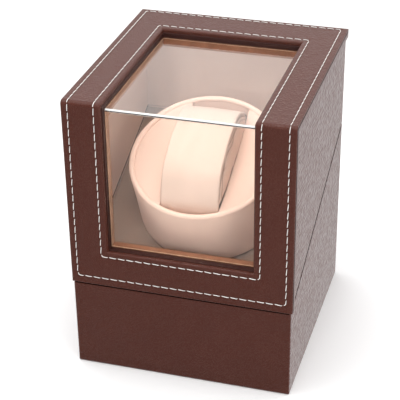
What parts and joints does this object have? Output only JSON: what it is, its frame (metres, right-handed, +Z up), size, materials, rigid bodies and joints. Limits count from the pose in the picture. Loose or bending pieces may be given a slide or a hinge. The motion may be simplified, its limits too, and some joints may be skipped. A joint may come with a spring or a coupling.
{
  "type": "watch winder box",
  "caption": "Box with a sloping seam, a hinged lid with a bent clear window, and a tilted motor-driven drum that turns a watch held on a pillow.",
  "frame": {"origin": "middle of the footprint, on the surface that the foot pads stand on", "axes": "+Z up, the window and front face -Y, +X to the right seen from the front"},
  "size_m": [0.125, 0.134, 0.165],
  "materials": {
    "leather": "brown grained leatherette, satin",
    "velvet": "cream-pink flocked velvet, matt",
    "pillow": "cream velour, matt",
    "copper": "copper-brown satin trim",
    "acrylic": "clear bent acrylic, polished",
    "wood": "raw board",
    "black_plastic": "moulded black plastic",
    "white_plastic": "moulded acetal",
    "steel": "bright steel",
    "brass": "brass, satin",
    "rubber": "matt rubber pad",
    "board": "green circuit board",
    "wire": "insulated wire",
    "cell": "plain sleeved cell"
  },
  "bodies": {
    "base": {"base_carcass": "leather", "base_lining": "velvet", "deck": "velvet", "deck_battens": "wood", "bottom_panel": "black_plastic", "corner_blocks": "wood", "foot_pads": "rubber", "bottom_screws": "steel", "base_magnets": "steel", "gearbox_housing": "white_plastic", "gearbox_cover": "white_plastic", "gearbox_screws": "steel", "shaft_bush": "brass", "idler_axle": "steel", "drive_motor": "steel", "control_board": "board", "wire_harness": "wire", "rear_plate": "black_plastic", "rear_screws": "steel", "dc_jack": "black_plastic", "mode_switch": "black_plastic", "battery_box": "black_plastic", "battery_cells": "cell", "battery_contacts": "steel", "base_hinge_leaves": "brass", "hinge_pins": "steel", "base_hinge_screws": "brass"},
    "lid": {"lid_panel": "leather", "lid_walls": "leather", "lid_lining": "velvet", "lid_window": "acrylic", "window_trim": "copper", "lid_magnets": "steel", "lid_hinge_leaves": "brass", "lid_hinge_screws": "brass"},
    "drum": {"drum_shell": "velvet", "drum_insert": "velvet", "drum_shaft": "steel", "drum_screws": "steel", "output_gear": "white_plastic", "shaft_clip": "steel"},
    "pillow": {"watch_pillow": "pillow"},
    "idler": {"idler_gear": "white_plastic"},
    "pinion": {"motor_pinion": "brass", "motor_shaft": "steel"},
    "knob": {"mode_knob": "black_plastic"},
    "door": {"battery_door": "black_plastic"}
  },
  "joints": [
    {"name": "lid_hinge", "type": "hinge", "parent": "base", "child": "lid", "pos_m": [0, 0.065, 0.10606], "axis": [-1, 0, 0], "range_deg": [0, 95]},
    {"name": "drum_spin", "type": "hinge", "parent": "base", "child": "drum", "pos_m": [0, 0.002, 0.07645], "axis": [0, -0.4163, 0.9092], "continuous": true},
    {"name": "idler_spin", "type": "hinge", "parent": "base", "child": "idler", "pos_m": [-0.024, 0.002, 0.07645], "axis": [0, -0.4163, 0.9092], "continuous": true},
    {"name": "pinion_spin", "type": "hinge", "parent": "base", "child": "pinion", "pos_m": [-0.024, 0.02091, 0.08511], "axis": [0, -0.4163, 0.9092], "continuous": true},
    {"name": "pillow_slide", "type": "slide", "parent": "drum", "child": "pillow", "axis": [0, -0.4163, 0.9092], "range_m": [0, 0.01]},
    {"name": "knob_turn", "type": "hinge", "parent": "base", "child": "knob", "pos_m": [-0.01, 0.065, 0.03], "axis": [0, -1, 0], "range_deg": [0, 120]},
    {"name": "door_slide", "type": "slide", "parent": "base", "child": "door", "axis": [0, 1, 0], "range_m": [0, 0.008]}
  ],
  "couplings": [
    {"joint": "idler_spin", "follows": "drum_spin", "ratio": -4},
    {"joint": "pinion_spin", "follows": "drum_spin", "ratio": 13.333}
  ]
}
